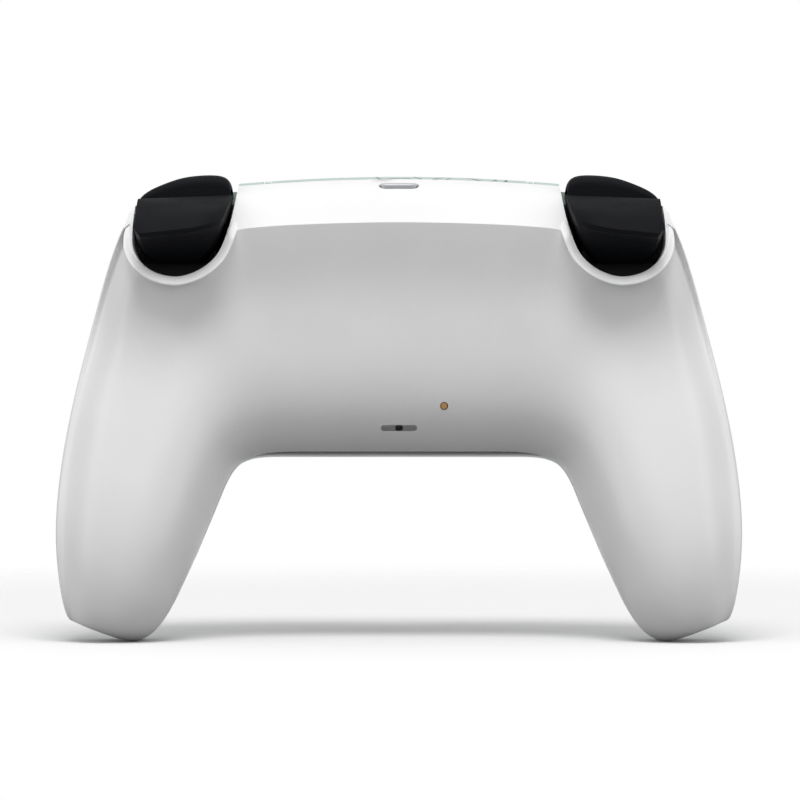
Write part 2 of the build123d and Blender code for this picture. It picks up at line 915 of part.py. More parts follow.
# Thumb stick module of the player's left side
base_back = board_front_y
base_front = stick_pivot_y + base_front_over_pivot
with BuildPart() as stick_base:
    x, z = stick_x, stick_z
    add(upright_box(x - base_half, x + base_half, base_back, base_front, z - base_half, z + base_half))
    room = base_half - base_wall
    floor_y = base_back + base_wall
    add(upright_box(x - room, x + room, floor_y, base_front, z - room, z + room), mode=Mode.SUBTRACT)
    add(axle(x - base_half, x + base_half, stick_pivot_y, z, yoke_pin + fit), mode=Mode.SUBTRACT)
    half = sensor_length / 2
    sensor_x = x + base_half
    sensor_front = stick_pivot_y + yoke_pin + fit
    add(upright_box(sensor_x, sensor_x + sensor_thickness, base_back, sensor_front, z - half, z + half))
    sensor_z = z + base_half
    add(upright_box(x - half, x + half, base_back, sensor_front, sensor_z, sensor_z + sensor_thickness))
save_pair(stick_base.part, "stick_base")

with BuildPart() as stick_yoke:
    with BuildSketch(front_plane(stick_pivot_y + yoke_thickness / 2)):
        with Locations((x, z)):
            Rectangle(2 * yoke_half_x, 2 * yoke_half_z)
            Rectangle(2 * (yoke_half_x - yoke_bar), 2 * (yoke_half_z - yoke_bar), mode=Mode.SUBTRACT)
    extrude(amount=yoke_thickness)
    pin_end = base_half - slack
    add(axle(x + yoke_half_x - yoke_bar, x + pin_end, stick_pivot_y, z, yoke_pin))
    add(axle(x - pin_end, x - yoke_half_x + yoke_bar, stick_pivot_y, z, yoke_pin))
    with BuildSketch(Plane.XY.offset(z - yoke_half_z)):
        with Locations((x, stick_pivot_y)):
            Circle(lever_pin + fit)
    extrude(amount=2 * yoke_half_z, mode=Mode.SUBTRACT)
save_pair(stick_yoke.part, "stick_yoke")

with BuildPart() as stick_lever:
    hub_half = yoke_half_z - yoke_bar - slack
    with BuildSketch(Plane.XY.offset(z - hub_half)):
        with Locations((x, stick_pivot_y)):
            Circle(lever_hub)
    extrude(amount=2 * hub_half)
    with BuildSketch(Plane.XY.offset(z - yoke_half_z)):
        with Locations((x, stick_pivot_y)):
            Circle(lever_pin)
    extrude(amount=2 * yoke_half_z)
    add(rod(x, z, lever_shaft, stick_pivot_y, lever_tip_y))
    add(rod(x, z, lever_pin, stick_pivot_y - lever_tail, stick_pivot_y))
save_pair(stick_lever.part, "stick_lever")

# Thumb cap: a dished disc on a flared neck, with the dome that closes the opening
with BuildPart() as stick_cap:
    dome_top = stick_pivot_y + dome_radius
    rim = cos(radians(dome_angle))
    edge = sin(radians(dome_angle))
    inner = dome_radius - dome_wall
    with BuildSketch(Plane.XY):
        with BuildLine():
            half_turn = radians(dome_angle / 2)
            outer_mid = (dome_radius * sin(half_turn), stick_pivot_y + dome_radius * cos(half_turn))
            inner_mid = (inner * sin(half_turn), stick_pivot_y + inner * cos(half_turn))
            outer_end = (dome_radius * edge, stick_pivot_y + dome_radius * rim)
            inner_end = (inner * edge, stick_pivot_y + inner * rim)
            ThreePointArc((0, dome_top), outer_mid, outer_end)
            Line(outer_end, inner_end)
            ThreePointArc(inner_end, inner_mid, (0, stick_pivot_y + inner))
            Line((0, stick_pivot_y + inner), (0, dome_top))
        make_face()
        with BuildLine():
            disc_low = half_depth - cap_thickness
            flare_low = disc_low - cap_thickness
            dish = half_depth - cap_dish
            rim_in = cap_radius - cap_rim
            rim_top = (cap_radius - cap_dish, half_depth)
            Polyline((0, dish), (rim_in - cap_dish, dish), (rim_in, half_depth), rim_top)
            RadiusArc(rim_top, (cap_radius, half_depth - cap_dish), cap_dish)
            Line((cap_radius, half_depth - cap_dish), (cap_radius, disc_low))
            Line((cap_radius, disc_low), (neck_flare, disc_low - cap_dish))
            Line((neck_flare, disc_low - cap_dish), (neck_radius, flare_low))
            Line((neck_radius, flare_low), (neck_radius, stick_pivot_y + inner))
            neck_foot = stick_pivot_y + lever_hub + 2 * slack
            Line((neck_radius, stick_pivot_y + inner), (neck_radius, neck_foot))
            Line((neck_radius, neck_foot), (0, neck_foot))
            Line((0, neck_foot), (0, dish))
        make_face()
    revolve(axis=Axis.Y)
    bore_front = lever_tip_y + click_travel + fit
    add(rod(0, 0, lever_shaft + fit, stick_pivot_y, bore_front), mode=Mode.SUBTRACT)
cap_left = Pos(stick_x, 0, stick_z) * stick_cap.part
save_pair(cap_left, "stick_cap")

# Carrier behind the four buttons: a plate with a rim that reaches the inside of the front shell
carrier_back = carrier_front_y - carrier_thickness
with BuildPart() as carrier_form:
    add(rod(cluster_x, cluster_z, carrier_radius, carrier_back, half_depth))
    well = carrier_radius - carrier_rim
    add(rod(cluster_x, cluster_z, well, carrier_front_y, half_depth), mode=Mode.SUBTRACT)
    add(hollow, mode=Mode.INTERSECT)
save_pair(carrier_form.part, "button_carrier")
membrane_back = carrier_back - membrane_thickness
with BuildPart() as membrane:
    add(rod(cluster_x, cluster_z, carrier_radius - membrane_margin, membrane_back, carrier_back))
save_pair(membrane.part, "button_membrane")

# Direction pad: four arms on one rocking plate, over a small pivot block
dpad_plate_back = carrier_front_y + dpad_pivot_thickness + 2 * slack
dpad_plate_front = dpad_plate_back + dpad_plate_thickness
with BuildPart() as dpad:
    add(rod(cluster_x, cluster_z, dpad_plate_radius, dpad_plate_back, dpad_plate_front))
    add(dpad_arms(0, dpad_plate_front, dpad_top_y))
    fillet(dpad.faces().filter_by(Axis.Y).sort_by(Axis.Y)[-4:].edges(), dpad_edge)
save(dpad.part, "dpad")
with BuildPart() as dpad_pivot:
    pivot_back = carrier_front_y + slack
    add(rod(cluster_x, cluster_z, dpad_pivot_radius, pivot_back, pivot_back + dpad_pivot_thickness))
save(dpad_pivot.part, "dpad_pivot")

# Face buttons of the player's right side
face_names = ["button_inner", "button_upper", "button_outer", "button_lower"]
button_back = carrier_front_y + button_travel + slack
flange_front = cluster_inner_y - slack
for name, (x, z) in zip(face_names, face_places()):
    with BuildPart() as face_button:
        add(rod(x, z, face_button_radius, button_back, face_button_top_y))
        fillet(face_button.faces().sort_by(Axis.Y)[-1].edges(), face_button_dome)
        add(rod(x, z, face_button_radius + flange_rim, flange_front - flange_thickness, flange_front))
    save(face_button.part, name)


def pill_button(x, z, wide, tall, foot_y, top_y, turn):
    """Small push button with a flange behind the shell."""
    with BuildPart() as button:
        add(pill(x, z, wide, tall, foot_y, top_y, turn))
        fillet(button.faces().sort_by(Axis.Y)[-1].edges(), face_button_dome)
        rim = 2 * flange_rim
        add(pill(x, z, wide + rim, tall + rim, foot_y, foot_y + flange_thickness, turn))
    return button.part


menu = pill_button(menu_x, menu_z, menu_width, menu_length, menu_foot_y, menu_top_y, 90 + menu_tilt)
save_pair(menu, "menu_button")
home = pill_button(0, home_z, home_width, home_height, home_foot_y, home_top_y, 0)
save(home, "home_button")
mute = pill_button(0, mute_z, mute_width, mute_height, mute_foot_y, mute_top_y, 0)
save(mute, "mute_button")

# Bracket that carries one trigger and one bumper
ear_radius = bumper_pin + fit + bumper_ear / 2
cheek_xs = (cheek_inner_x, cheek_outer_x)
with BuildPart() as trigger_bracket:
    outer_end = cheek_outer_x + cheek_thickness
    plate_front = plate_back_y + cheek_thickness
    for x in cheek_xs:
        add(upright_box(x, x + cheek_thickness, cheek_back_y, plate_front, cheek_low_z, plate_top_z))
        with BuildSketch(Plane.YZ.offset(x)):
            with Locations((pivot_y, pivot_z)):
                Circle(hub_radius)
            with Locations((bumper_pin_y, bumper_pin_z)):
                Circle(ear_radius)
            with BuildLine():
                low = plate_top_z - hub_radius
                left = (pivot_y - hub_radius, low)
                right = (plate_front, low)
                high = [(bumper_pin_y + ear_radius, bumper_pin_z), (pivot_y - hub_radius, pivot_z)]
                Polyline(left, right, *high, close=True)
            make_face()
        extrude(amount=cheek_thickness)
    floor_back = cheek_back_y + slack
    floor_z = cheek_low_z + floor_thickness
    add(upright_box(cheek_inner_x, outer_end, floor_back, plate_front, cheek_low_z, floor_z))
    apron_y = cheek_back_y + cheek_thickness
    add(upright_box(cheek_inner_x, apron_outer_x, cheek_back_y, apron_y, cheek_low_z, apron_top_z))
    add(upright_box(cheek_inner_x, outer_end, plate_back_y, plate_front, cheek_low_z, plate_top_z))
    add(axle(cheek_inner_x, outer_end, pivot_y, pivot_z, axle_radius + fit), mode=Mode.SUBTRACT)
    add(axle(cheek_inner_x, outer_end, bumper_pin_y, bumper_pin_z, bumper_pin + fit), mode=Mode.SUBTRACT)
    add(axle(cheek_inner_x, outer_end, cam_y, cam_z, cam_pin), mode=Mode.SUBTRACT)
save_pair(trigger_bracket.part, "trigger_bracket")
save_pair(axle(cheek_inner_x, outer_end, pivot_y, pivot_z, axle_radius), "trigger_axle")

# Trigger: a hollow finger shell with two ears on the axle
def trigger_point(share):
    """Place in the side view, from shares of the reach and the lip drop."""
    return pivot_y + trigger_back * share[0], pivot_z + trigger_lip_drop * share[1]


def trigger_profile(station, inset):
    """Points of the trigger's cross-section at one station: top, face, tip, underside, skirt."""
    reach, lift, top_share = station[1:]
    front = pivot_y - trigger_front
    rise = lift * trigger_lip_drop

    def bent(share):
        y, z = trigger_point(share)
        way = (front - y) / (trigger_back - trigger_front)
        return front + (y - front) * reach, z + rise * way * way

    top = (front - inset, top_share * height - inset)
    face = [(y + inset / 2, z - inset) for y, z in map(bent, trigger_face_shares)]
    tip = [(y + inset, z) for y, z in map(bent, trigger_tip_shares)]
    under = [(y + inset, z + inset) for y, z in map(bent, trigger_under_shares)]
    skirt_y = front + (pivot_y - trigger_skirt_share * trigger_back - front) * reach + inset
    skirt = (skirt_y, pivot_z - trigger_skirt_drop + inset / 2)
    return top, face, tip, under, skirt


pocket_inner = pocket_shares[0][0] * half_width
pocket_outer = pocket_shares[10][0] * half_width
trigger_brow = (pivot_y - trigger_front, pivot_z - trigger_front / 2)
with BuildPart() as finger_shell:
    for station in trigger_station_shares:
        top, face, tip, under, skirt = trigger_profile(station, 0)
        with BuildSketch(Plane.YZ.offset(pocket_inner + station[0] * (pocket_outer - pocket_inner))):
            with BuildLine():
                Spline(top, *face, tip[0])
                Line(tip[0], tip[1])
                Spline(tip[1], *under, skirt)
                Polyline(skirt, trigger_brow, top)
            make_face()
    loft()

with BuildPart() as finger_hollow:
    for station in trigger_station_shares[1:-1]:
        top, face, tip, under, skirt = trigger_profile(station, trigger_wall)
        with BuildSketch(Plane.YZ.offset(pocket_inner + station[0] * (pocket_outer - pocket_inner))):
            with BuildLine():
                Polyline(top, face[0], face[1], *under, skirt, (pivot_y, skirt[1]), (pivot_y, top[1]), top)
            make_face()
    loft(ruled=True)

# Its outline clears the pocket at rest and when pulled, so two prisms bound it
trigger_axis = Axis((0, pivot_y, pivot_z), (1, 0, 0))
pulled_outline = pocket_body(trigger_gap, half_depth).rotate(trigger_axis, -trigger_turn)
with BuildPart() as trigger_outline:
    add(pocket_body(trigger_gap, half_depth))
    add(upright_box(pocket_inner, trigger_outer_x, -beyond, half_depth, 0, height), mode=Mode.INTERSECT)

with BuildPart() as trigger:
    add(finger_shell.part)
    add(finger_hollow.part, mode=Mode.SUBTRACT)
    add(trigger_outline.part, mode=Mode.INTERSECT)
    add(pulled_outline, mode=Mode.INTERSECT)
    ear_low = pivot_z - hub_radius
    ear_top = pivot_z + trigger_ear_rise
    for x in (cheek_inner_x + cheek_thickness + cheek_gap, cheek_outer_x - cheek_gap - ear_width):
        with BuildSketch(Plane.YZ.offset(x)):
            with Locations((pivot_y, pivot_z)):
                Circle(hub_radius)
            with BuildLine():
                far = pivot_y - trigger_ear_back
                Polyline((pivot_y, ear_low), (pivot_y, ear_top), (far, ear_top), (far, ear_low), close=True)
            make_face()
        extrude(amount=ear_width)
    add(axle(pocket_inner, pocket_outer, pivot_y, pivot_z, axle_radius + fit), mode=Mode.SUBTRACT)
save_pair(trigger.part, "trigger")

# Bumper: an arched cap over the pocket, hinged at its front, with a wall down its back
with BuildPart() as bumper:
    last = len(bumper_shares) - 1
    for step, (x, low_z, top_z) in enumerate(bumper_shares):
        inset = bumper_end_inset if step in (0, last) else 0
        back_y = bumper_back_y + inset
        deep = bumper_front_y - inset - back_y
        low = low_z * height
        tall = top_z * height - low
        with BuildSketch(Plane.YZ.offset(x * half_width)):
            with BuildLine():
                arch = [(back_y + y * deep, low + rise * tall) for y, rise in bumper_arch_shares]
                Spline(*arch)
                Polyline(arch[-1], (back_y + deep, low), (back_y, low), arch[0])
            make_face()
    loft()
    with BuildSketch(front_plane(bumper_front_y - bumper_skirt)):
        with BuildLine():
            slope = [(bumper_ceiling_x, bumper_ceiling_z), (bumper_end_x, bumper_end_z)]
            Polyline((0, 0), (0, bumper_ceiling_z), *slope, (bumper_end_x, 0), close=True)
        make_face()
    hollow = bumper_front_y - bumper_skirt - bumper_back_y - bumper_wall
    extrude(amount=hollow, mode=Mode.SUBTRACT)
    skirt_y = bumper_front_y - bumper_skirt
    skirt_in = cheek_inner_x + cheek_thickness + cheek_gap
    skirt_top = bumper_ceiling_z + bumper_wall / 2
    add(upright_box(skirt_in, cheek_outer_x, skirt_y, bumper_front_y, bumper_skirt_z, skirt_top))
    for x in (skirt_in, cheek_outer_x - cheek_gap - bumper_tab):
        tab_low = bumper_pin_z - bumper_ear
        add(upright_box(x, x + bumper_tab, bumper_pin_y - bumper_ear, bumper_front_y, tab_low, skirt_top))
    add(axle(cheek_inner_x, skirt_in + bumper_tab, bumper_pin_y, bumper_pin_z, bumper_pin))
    add(axle(cheek_outer_x - cheek_gap - bumper_tab, outer_end, bumper_pin_y, bumper_pin_z, bumper_pin))
save_pair(bumper.part, "bumper")

# Return spring on the axle, and the motor and cam that load the trigger
spring_gap = ear_width + cheek_gap + slack
spring_length = cheek_outer_x - cheek_inner_x - cheek_thickness - 2 * spring_gap - spring_wire
with BuildPart() as trigger_spring:
    with BuildLine():
        coil = Helix(
            pitch=spring_length / spring_turns,
            height=spring_length,
            radius=spring_radius,
            center=(cheek_inner_x + cheek_thickness + spring_gap + spring_wire / 2, pivot_y, pivot_z),
            direction=(1, 0, 0),
        )
    with BuildSketch(Plane(origin=coil @ 0, z_dir=coil % 0)):
        Circle(spring_wire / 2)
    sweep()
save_pair(trigger_spring.part, "trigger_spring")

with BuildPart() as trigger_motor:
    add(axle(motor_x - motor_length / 2, motor_x + motor_length / 2, motor_y, motor_z, motor_radius))
    chamfer(trigger_motor.edges().filter_by(GeomType.CIRCLE), slack)
    add(axle(motor_x - motor_length, motor_x, motor_y, motor_z, cam_pin / 2))
save_pair(trigger_motor.part, "trigger_motor")

with BuildPart() as trigger_cam:
    with BuildSketch(Plane.YZ.offset(cam_x - cam_width / 2)):
        with Locations((cam_y, cam_z)):
            Circle(cam_hub)
        with Locations((cam_y, cam_z + cam_hub)):
            Circle(cam_nose - cam_hub)
    extrude(amount=cam_width)
    add(axle(cheek_inner_x, cheek_outer_x, cam_y, cam_z, cam_pin + fit), mode=Mode.SUBTRACT)
save_pair(trigger_cam.part, "trigger_cam")
with BuildPart() as cam_pins:
    cam_axle = axle(cheek_inner_x, outer_end, cam_y, cam_z, cam_pin)
    add(cam_axle)
    mirror(cam_axle, about=Plane.YZ)
save(cam_pins.part, "cam_pins")
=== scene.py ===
"""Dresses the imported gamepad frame: finishes, fine pieces and a studio stage."""

import json
from math import pi

import bmesh
import bpy
import numpy as np
from bpy.props import FloatProperty, FloatVectorProperty, IntProperty, PointerProperty
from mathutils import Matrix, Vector


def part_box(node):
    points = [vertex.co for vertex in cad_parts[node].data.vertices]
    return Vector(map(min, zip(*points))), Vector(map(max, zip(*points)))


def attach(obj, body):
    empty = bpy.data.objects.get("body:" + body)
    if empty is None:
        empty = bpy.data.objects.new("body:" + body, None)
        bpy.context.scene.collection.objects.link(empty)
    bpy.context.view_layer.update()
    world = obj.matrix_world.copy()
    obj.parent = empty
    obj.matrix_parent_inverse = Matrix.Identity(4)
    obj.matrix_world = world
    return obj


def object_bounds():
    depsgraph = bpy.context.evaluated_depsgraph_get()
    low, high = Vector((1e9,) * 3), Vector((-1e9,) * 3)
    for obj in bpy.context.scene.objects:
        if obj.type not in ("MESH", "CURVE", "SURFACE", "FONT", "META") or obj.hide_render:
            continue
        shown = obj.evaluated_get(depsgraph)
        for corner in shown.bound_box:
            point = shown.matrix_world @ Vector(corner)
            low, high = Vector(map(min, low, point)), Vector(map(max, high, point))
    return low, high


bl_info = {
    "name": "Gamepad dressing",
    "version": (1, 0, 0),
    "blender": (4, 5, 0),
    "location": "View3D > Sidebar > Gamepad",
    "description": "Dresses a gamepad frame with finishes, fine pieces and a studio stage",
    "category": "Object",
}

MM = 0.001
SIDES = ("left", "right")

# The part's driving sizes, as in its source
HALF_WIDTH = 80.1 * MM
SHELL_HEIGHT = 110.0 * MM

# Lower edge of the left trigger pocket, as shares of the half width and of the height
POCKET_SHARES = (
    (0.4870, 0.9120),
    (0.4960, 0.8810),
    (0.5120, 0.8430),
    (0.5380, 0.8110),
    (0.5840, 0.7850),
    (0.6430, 0.7720),
    (0.7050, 0.7795),
    (0.7500, 0.8020),
    (0.7740, 0.8320),
    (0.7800, 0.8650),
    (0.7790, 0.9200),
)

# A collar lip's section is |across|^3 + |high|^3 = 1. Near its ends, along the pocket's edge, it
# narrows to a point and stops standing out.
LIP_ROWS = 120
LIP_ROUND = 28
LIP_POWER = 2 / 3
LIP_NARROW_SHARE = 0.35
LIP_FLAT_SHARE = 0.8

# Section of a grip ring in millimetres: radius, depth behind the cap's face, share of the teeth
GRIP_SECTION = (
    (9.0, -3.5, 0),
    (10.15, -3.2, 0),
    (10.25, -2.8, 1),
    (10.25, -1.6, 1),
    (10.125, -1.1, 0),
    (8.8, -1.2, 0),
)
POINTS_PER_TOOTH = 6

# Charging port: the mouth's outline, its place and the bead round it, sunk by shares of the bead
PORT_WIDTH = 8.9 * MM
PORT_TALL = 3.1 * MM
PORT_Y = -6.5 * MM
PORT_POINTS = 96
BEAD = 0.16 * MM
BEAD_ROUND = 16
BEAD_INSET_SHARE = 0.6
BEAD_SINK_SHARE = 0.4

# Printed lines of the front shell: ends of the band along X, and levels of the noise
PRINT_BAND = (-6.5 * MM, 23.5 * MM)
PRINT_SCALE = 55.0
PRINT_LEVELS = 13.0
PRINT_HALF_LINE = 0.10
PRINT_RAGGED = 0.45

# Stage in metres
LAMP_AIM = (0, 0, 0.06)
TOP_LAMP_PLACE = (0, -0.42, 1.1)
TOP_LAMP_SIZE = (0.6, 0.45)
SIDE_LAMP_PLACE = (1.0, -0.45, 0.35)
SIDE_LAMP_SIZE = (0.7, 0.9)
FLOOR_REACH = 0.6
FLOOR_POINTS = 13
FLOOR_FADE = (0.16, 0.42)
HORIZON = 0.12
GLOSS_WHITE = 0.5
GRIP_DEPTH = 0.012
SENSOR_WIDTH = 36.0

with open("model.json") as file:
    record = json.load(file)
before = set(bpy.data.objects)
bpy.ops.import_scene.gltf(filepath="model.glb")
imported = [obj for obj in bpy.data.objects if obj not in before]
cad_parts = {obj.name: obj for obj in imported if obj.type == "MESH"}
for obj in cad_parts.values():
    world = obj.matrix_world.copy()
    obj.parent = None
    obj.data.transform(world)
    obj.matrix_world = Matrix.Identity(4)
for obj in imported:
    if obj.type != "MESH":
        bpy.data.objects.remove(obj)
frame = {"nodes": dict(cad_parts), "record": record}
cad_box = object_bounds()


# Sizes and colours that a user would change


def colour(title, text, value):
    """Colour property in linear red, green and blue."""
    return FloatVectorProperty(
        name=title, description=text, subtype="COLOR", size=3, min=0, max=1, default=value
    )


def length(title, text, value):
    """Length property in metres."""
    return FloatProperty(
        name=title, description=text, unit="LENGTH", subtype="DISTANCE", default=value, precision=5
    )


def number(title, text, value):
    """Plain number property."""
    return FloatProperty(name=title, description=text, default=value, min=0, precision=4)


class ShellSettings(bpy.types.PropertyGroup):
    """Finish of the white and the mint shells."""

    white: colour("White", "Rear shell plastic", (0.86, 0.86, 0.865))
    mint: colour("Mint", "Front shell and touch pad plastic", (0.47, 0.60, 0.54))
    print_ink: colour("Print", "Lines printed on the front shell", (0.035, 0.045, 0.05))
    grain: length("Grain", "Size of the moulded grain", 0.00042)
    roughness: number("Roughness", "Mean roughness", 0.34)
    lip_width: length("Lip width", "Width of the rounded lip of a collar", 0.0023)
    lip_overhang: length("Lip overhang", "How far the lip stands over the pocket", 0.00015)
    lip_deep: length("Lip depth", "Thickness of the lip", 0.0024)
    lip_rise: length("Lip rise", "How far the lip stands out of the collar", 0.0014)
    lip_tilt: number("Lip tilt", "Slope of the lip towards the pocket", 0.8)


class ControlSettings(bpy.types.PropertyGroup):
    """Finish of the black controls and sizes of their fine pieces."""

    black: colour("Black", "Trigger and bumper plastic", (0.0085, 0.009, 0.011))
    gloss: colour("Gloss black", "Centre panel plastic", (0.006, 0.006, 0.007))
    button: colour("Button", "Clear-coated button plastic", (0.62, 0.64, 0.65))
    rubber: colour("Rubber", "Thumb cap rubber", (0.018, 0.018, 0.019))
    teeth: IntProperty(name="Teeth", description="Grip teeth round a thumb cap", default=72, min=12)
    tooth_depth: length("Tooth depth", "Depth of the grip teeth", 0.00022)


class StageSettings(bpy.types.PropertyGroup):
    """Camera, lamps and floor."""

    camera_distance: length("Camera distance", "From the middle plane to the camera", 0.900)
    camera_height: length("Camera height", "Height of the level camera", 0.0563)
    camera_aside: length("Camera aside", "Sideways place of the camera", 0.00024)
    photo_scale: number("Scale", "Millimetres to a pixel at the grips", 0.23564)
    photo_width: IntProperty(name="Width", description="Picture width in pixels", default=800)
    top_power: number("Top lamp", "Power of the top lamp in watts", 6.6)
    side_power: number("Side lamps", "Power of each side lamp in watts", 1.9)
    sky: number("Sky", "Strength of the light from above", 0.62)
    ground: number("Ground", "Strength of the light from below", 0.15)
    floor: colour("Floor", "Floor colour", (0.89, 0.89, 0.89))
    floor_bounce: colour("Floor bounce", "Floor colour that lights the object", (0.20, 0.20, 0.20))


# Meshes


def surface(name, points, close_u=False, close_v=False):
    """Mesh object of a grid of points, shape (rows, columns, 3).

    Cell (i, j) is the quad of the points (i, j), (i, j+1), (i+1, j+1), (i+1, j). Closing a
    direction joins its last row or column to the first.
    """
    rows, columns = points.shape[:2]
    index = np.arange(rows * columns).reshape(rows, columns)
    if close_u:
        index = np.vstack([index, index[:1]])
    if close_v:
        index = np.hstack([index, index[:, :1]])
    quads = np.stack([index[:-1, :-1], index[:-1, 1:], index[1:, 1:], index[1:, :-1]], axis=-1)
    mesh = bpy.data.meshes.new(name)
    mesh.from_pydata(points.reshape(-1, 3), [], quads.reshape(-1, 4).tolist())
    mesh.polygons.foreach_set("use_smooth", np.full(len(mesh.polygons), True))
    mesh.update()
    piece = bpy.data.objects.new(name, mesh)
    bpy.context.scene.collection.objects.link(piece)
    return piece


def lathe(name, profile, centre, steps, teeth, depth_of_teeth):
    """Ring turned about an axis along Y through centre.

    profile holds (radius, depth, share of the teeth). Point = centre + (r cos a, depth, r sin a),
    where a runs once round and r = radius - depth_of_teeth * share * (1 - cos(teeth a)) / 2.
    """
    radius, depth, share = np.array(profile, float).T
    angle = np.linspace(0, 2 * pi, steps, endpoint=False)
    notch = depth_of_teeth * (1 - np.cos(teeth * angle)) / 2
    reach = radius[:, None] - share[:, None] * notch[None, :]
    x = centre[0] + reach * np.cos(angle)
    y = centre[1] + np.outer(depth, np.ones(steps))
    z = centre[2] + reach * np.sin(angle)
    return surface(name, np.stack([x, y, z], axis=-1), close_u=True, close_v=True)


def stadium(width, tall, steps):
    """Points and outward directions round a pill outline in XY.

    Half circles of radius tall / 2 at the two ends are joined by straight sides.
    """
    radius = tall / 2
    straight = width / 2 - radius
    angle = np.linspace(0, 2 * pi, steps, endpoint=False) + pi / steps
    out = np.stack([np.cos(angle), np.sin(angle)], axis=-1)
    centre = np.stack([np.sign(out[:, 0]) * straight, np.zeros(steps)], axis=-1)
    return centre + out * radius, out


# Materials


class Finish:
    """One material's node tree, with short calls for the nodes that it uses."""

    def __init__(self, name):
        self.material = bpy.data.materials.new(name)
        self.material.use_nodes = True
        self.tree = self.material.node_tree
        self.shader = self.tree.nodes["Principled BSDF"]
        self.place = self.tree.nodes.new("ShaderNodeTexCoord").outputs["Object"]

    def node(self, kind, inputs=None, **values):
        """New node with its settings, and its inputs linked or set."""
        made = self.tree.nodes.new(kind)
        for key, value in values.items():
            setattr(made, key, value)
        for key, value in (inputs or {}).items():
            if isinstance(value, bpy.types.NodeSocket):
                self.tree.links.new(value, made.inputs[key])
            else:
                made.inputs[key].default_value = value
        return made

    def stretched(self, scale):
        """Object coordinates scaled by three factors."""
        given = {"Vector": self.place, "Scale": scale}
        return self.node("ShaderNodeMapping", given).outputs["Vector"]

    def noise(self, scale, detail, place=None):
        """Soft noise, 0 to 1."""
        given = {"Vector": place or self.place, "Scale": scale, "Detail": detail}
        return self.node("ShaderNodeTexNoise", given).outputs["Fac"]

    def cells(self, scale, feature="F1"):
        """Distance in a pattern of cells."""
        given = {"Vector": self.place, "Scale": scale}
        return self.node("ShaderNodeTexVoronoi", given, feature=feature).outputs["Distance"]

    def maths(self, what, first, second=0.5):
        """Result of a Math node."""
        made = self.node("ShaderNodeMath", operation=what)
        for socket, value in zip(made.inputs, (first, second)):
            if isinstance(value, bpy.types.NodeSocket):
                self.tree.links.new(value, socket)
            else:
                socket.default_value = value
        return made.outputs["Value"]

    def spread(self, source, low, high, start=0.0, end=1.0):
        """Source from start..end spread over low..high."""
        given = {"Value": source, "From Min": start, "From Max": end, "To Min": low, "To Max": high}
        return self.node("ShaderNodeMapRange", given).outputs["Result"]

    def mix(self, share, first, second):
        """Colour between two colours."""
        made = self.node("ShaderNodeMix", data_type="RGBA")
        for index, value in ((0, share), (6, first), (7, second)):
            if isinstance(value, bpy.types.NodeSocket):
                self.tree.links.new(value, made.inputs[index])
            elif index:
                made.inputs[index].default_value = (*value, 1)
            else:
                made.inputs[index].default_value = value
        return made.outputs[2]

    def bump(self, height, distance, strength, normal=None):
        """Normal tilted by a height, on top of another normal where one is given."""
        given = {"Height": height, "Distance": distance, "Strength": strength}
        if normal:
            given["Normal"] = normal
        return self.node("ShaderNodeBump", given).outputs["Normal"]

    def set(self, **sockets):
        """Link or set sockets of the main shader, with underscores for spaces."""
        for key, value in sockets.items():
            socket = self.shader.inputs[key.replace("_", " ")]
            if isinstance(value, bpy.types.NodeSocket):
                self.tree.links.new(value, socket)
            else:
                socket.default_value = value
        return self.material


def tint(base, factor):
    """Colour times a factor, held to 1."""
    return tuple(min(1.0, part * factor) for part in base)


def moulded(name, base, grain, roughness, vary=0.03):
    """Moulded plastic: fine grain, slow change of tone and of gloss."""
    f = Finish(name)
    slow = f.noise(28.0, 2.0)
    share = f.spread(slow, 0, 1, 0.35, 0.65)
    tone = f.mix(share, tint(base, 1 - vary), tint(base, 1 + vary / 3))
    fine = f.noise(1.0 / grain, 4.0)
    rough = f.spread(f.noise(160.0, 3.0), roughness - 0.04, roughness + 0.05, 0.3, 0.7)
    return f, tone, rough, f.bump(fine, 0.01 * MM, 0.6)


def white_shell(shell):
    """White satin plastic with a fine moulded grain."""
    f, tone, rough, normal = moulded("shell_white", shell.white, shell.grain, shell.roughness)
    pits = f.spread(f.cells(1.0 / shell.grain), 0, 1, 0.1, 0.6)
    normal = f.bump(pits, 0.012 * MM, 0.5, normal)
    return f.set(Base_Color=tone, Roughness=rough, Normal=normal, Specular_IOR_Level=0.5)


def printed_shell(shell):
    """Pale mint plastic with thin printed contour lines in a ragged band of its width.

    The lines are where a slow noise crosses evenly spaced levels.
    """
    gloss = shell.roughness - 0.04
    f, tone, rough, normal = moulded("pad_mint", shell.mint, shell.grain, gloss)
    level = f.maths("FRACT", f.maths("MULTIPLY", f.noise(PRINT_SCALE, 1.5), PRINT_LEVELS))
    from_middle = f.maths("ABSOLUTE", f.maths("SUBTRACT", level, 0.5))
    line = f.maths("LESS_THAN", from_middle, PRINT_HALF_LINE)
    x = f.node("ShaderNodeSeparateXYZ", {"Vector": f.place}).outputs["X"]
    low_x, high_x = PRINT_BAND
    middle, half = (low_x + high_x) / 2, (high_x - low_x) / 2
    away = f.maths("DIVIDE", f.maths("ABSOLUTE", f.maths("SUBTRACT", x, middle)), half)
    stray = f.spread(f.noise(70.0, 2.0), -PRINT_RAGGED, PRINT_RAGGED, 0.3, 0.7)
    ragged = f.maths("ADD", away, stray)
    mask = f.maths("MULTIPLY", line, f.maths("LESS_THAN", ragged, 1.0))
    worn = f.maths("MULTIPLY", mask, f.spread(f.noise(900.0, 2.0), 0.75, 1.0, 0.35, 0.6))
    return f.set(
        Base_Color=f.mix(worn, tone, shell.print_ink),
        Roughness=rough,
        Normal=normal,
        Coat_Weight=0.15,
        Coat_Roughness=0.2,
    )


